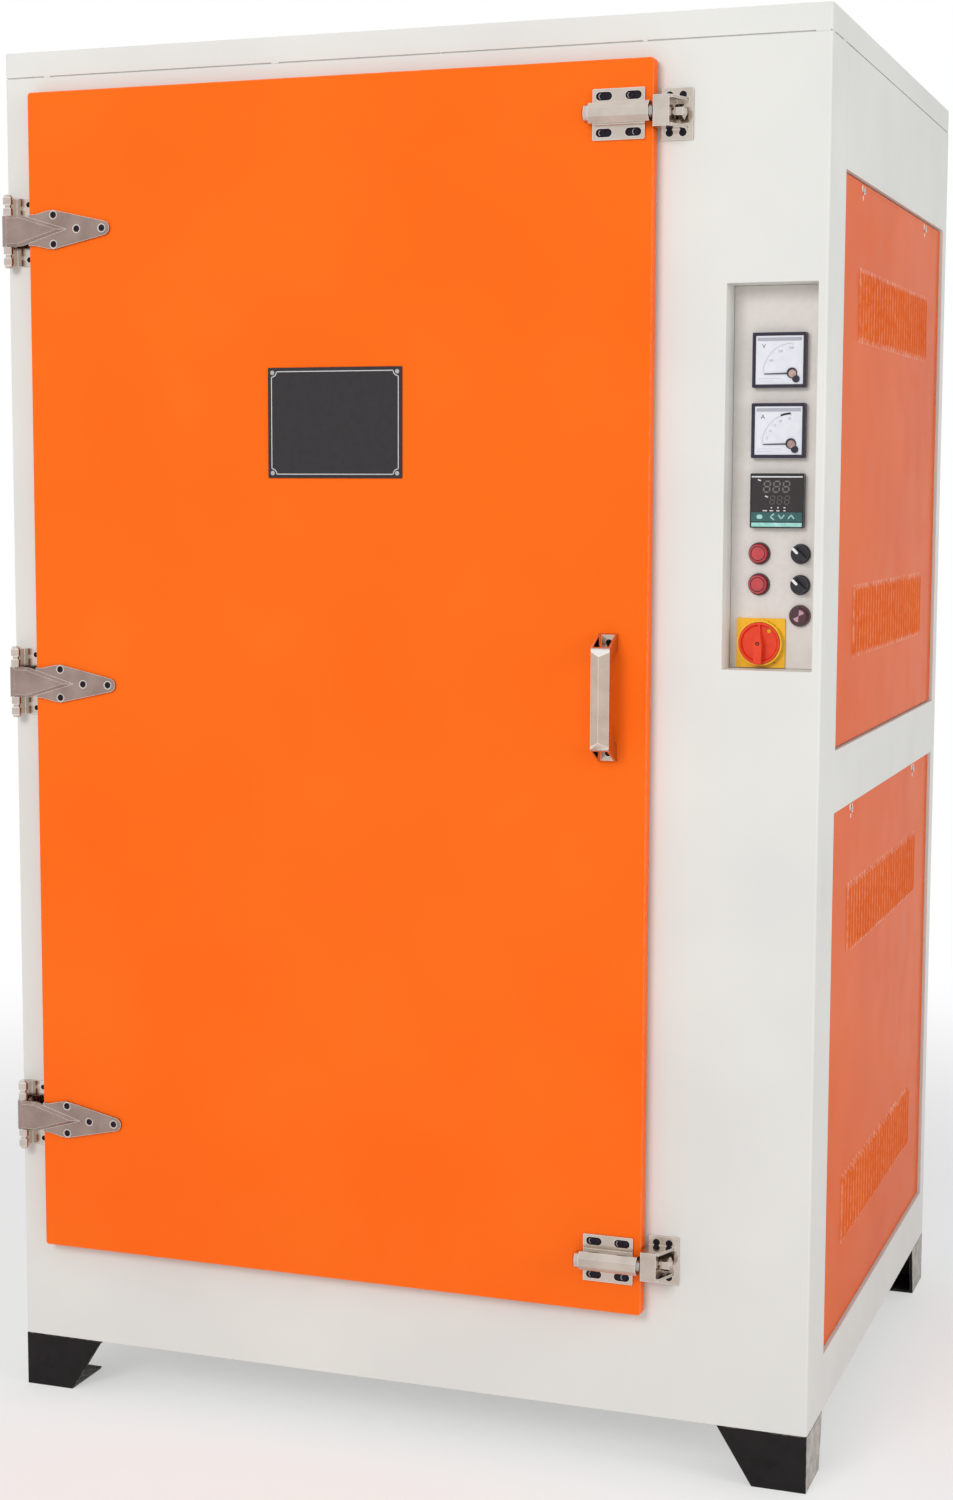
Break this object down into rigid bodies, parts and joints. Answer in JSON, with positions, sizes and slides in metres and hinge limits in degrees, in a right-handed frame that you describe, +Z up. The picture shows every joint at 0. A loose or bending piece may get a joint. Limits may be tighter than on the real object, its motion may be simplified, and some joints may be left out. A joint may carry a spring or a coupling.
{
  "type": "powder coating oven",
  "caption": "Insulated sheet steel batch oven on feet, with an overlay door on strap hinges, spring latches, a recessed control panel and louvred side panels.",
  "frame": {"origin": "middle of the footprint on the floor, halfway between the handle's grip and the cabinet's back", "axes": "+Z up, the door faces -Y, +X to the viewer's right"},
  "size_m": [1.2, 1.034, 1.975],
  "materials": {
    "cabinet_paint": "satin powder coat",
    "orange_paint": "semi-gloss powder coat",
    "foot_paint": "black paint, worn",
    "lining": "galvanised sheet",
    "fittings": "polished plate",
    "plunger_steel": "turned",
    "board_paint": "satin",
    "meter_case": "moulded",
    "controller_case": "moulded",
    "pilot_red": "clear moulded",
    "switch_black": "moulded",
    "alarm_red": "moulded",
    "isolator_yellow": "moulded",
    "isolator_red": "moulded",
    "seal": "silicone",
    "nameplate": "black anodised"
  },
  "bodies": {
    "cabinet": {"foot_front_left": "foot_paint", "foot_front_right": "foot_paint", "foot_rear_left": "foot_paint", "foot_rear_right": "foot_paint", "base": "cabinet_paint", "left_wall": "cabinet_paint", "partition_wall": "cabinet_paint", "back_wall": "cabinet_paint", "ceiling": "cabinet_paint", "lid": "cabinet_paint", "oven_lining": "lining", "front_panel": "cabinet_paint", "side_frame": "cabinet_paint", "upper_side_panel": "orange_paint", "lower_side_panel": "orange_paint", "control_tray": "cabinet_paint", "control_board": "board_paint", "upper_meter": "meter_case", "lower_meter": "meter_case", "controller": "controller_case", "pilot_lamps": "pilot_red", "upper_selector_base": "switch_black", "lower_selector_base": "switch_black", "alarm_lamp": "alarm_red", "isolator_base": "isolator_yellow", "top_hinge_leaf": "fittings", "middle_hinge_leaf": "fittings", "bottom_hinge_leaf": "fittings", "upper_keeper": "fittings", "lower_keeper": "fittings"},
    "door": {"door_pan": "orange_paint", "door_plug": "lining", "door_seal": "seal", "door_nameplate": "nameplate", "door_handle": "fittings", "top_hinge_strap": "fittings", "middle_hinge_strap": "fittings", "bottom_hinge_strap": "fittings", "upper_latch": "fittings", "lower_latch": "fittings"},
    "upper_selector": {"upper_selector_knob": "switch_black"},
    "lower_selector": {"lower_selector_knob": "switch_black"},
    "main_switch": {"isolator_knob": "isolator_red"},
    "upper_latch_bolt": {"upper_plunger": "plunger_steel"},
    "lower_latch_bolt": {"lower_plunger": "plunger_steel"}
  },
  "joints": [
    {"name": "door_hinge", "type": "hinge", "parent": "cabinet", "child": "door", "pos_m": [-0.588, -0.465, 1.0735], "axis": [0, 0, -1], "range_deg": [0, 165]},
    {"name": "upper_selector_turn", "type": "hinge", "parent": "cabinet", "child": "upper_selector", "pos_m": [0.561, -0.401, 1.273], "axis": [0, 1, 0], "range_deg": [0, 90]},
    {"name": "lower_selector_turn", "type": "hinge", "parent": "cabinet", "child": "lower_selector", "pos_m": [0.561, -0.401, 1.232], "axis": [0, 1, 0], "range_deg": [0, 90]},
    {"name": "main_switch_turn", "type": "hinge", "parent": "cabinet", "child": "main_switch", "pos_m": [0.509, -0.401, 1.154], "axis": [0, 1, 0], "range_deg": [0, 90]},
    {"name": "upper_bolt_slide", "type": "slide", "parent": "door", "child": "upper_latch_bolt", "axis": [-1, 0, 0], "range_m": [0, 0.006], "stiffness_N_per_m": 600},
    {"name": "lower_bolt_slide", "type": "slide", "parent": "door", "child": "lower_latch_bolt", "axis": [-1, 0, 0], "range_m": [0, 0.006], "stiffness_N_per_m": 600}
  ]
}
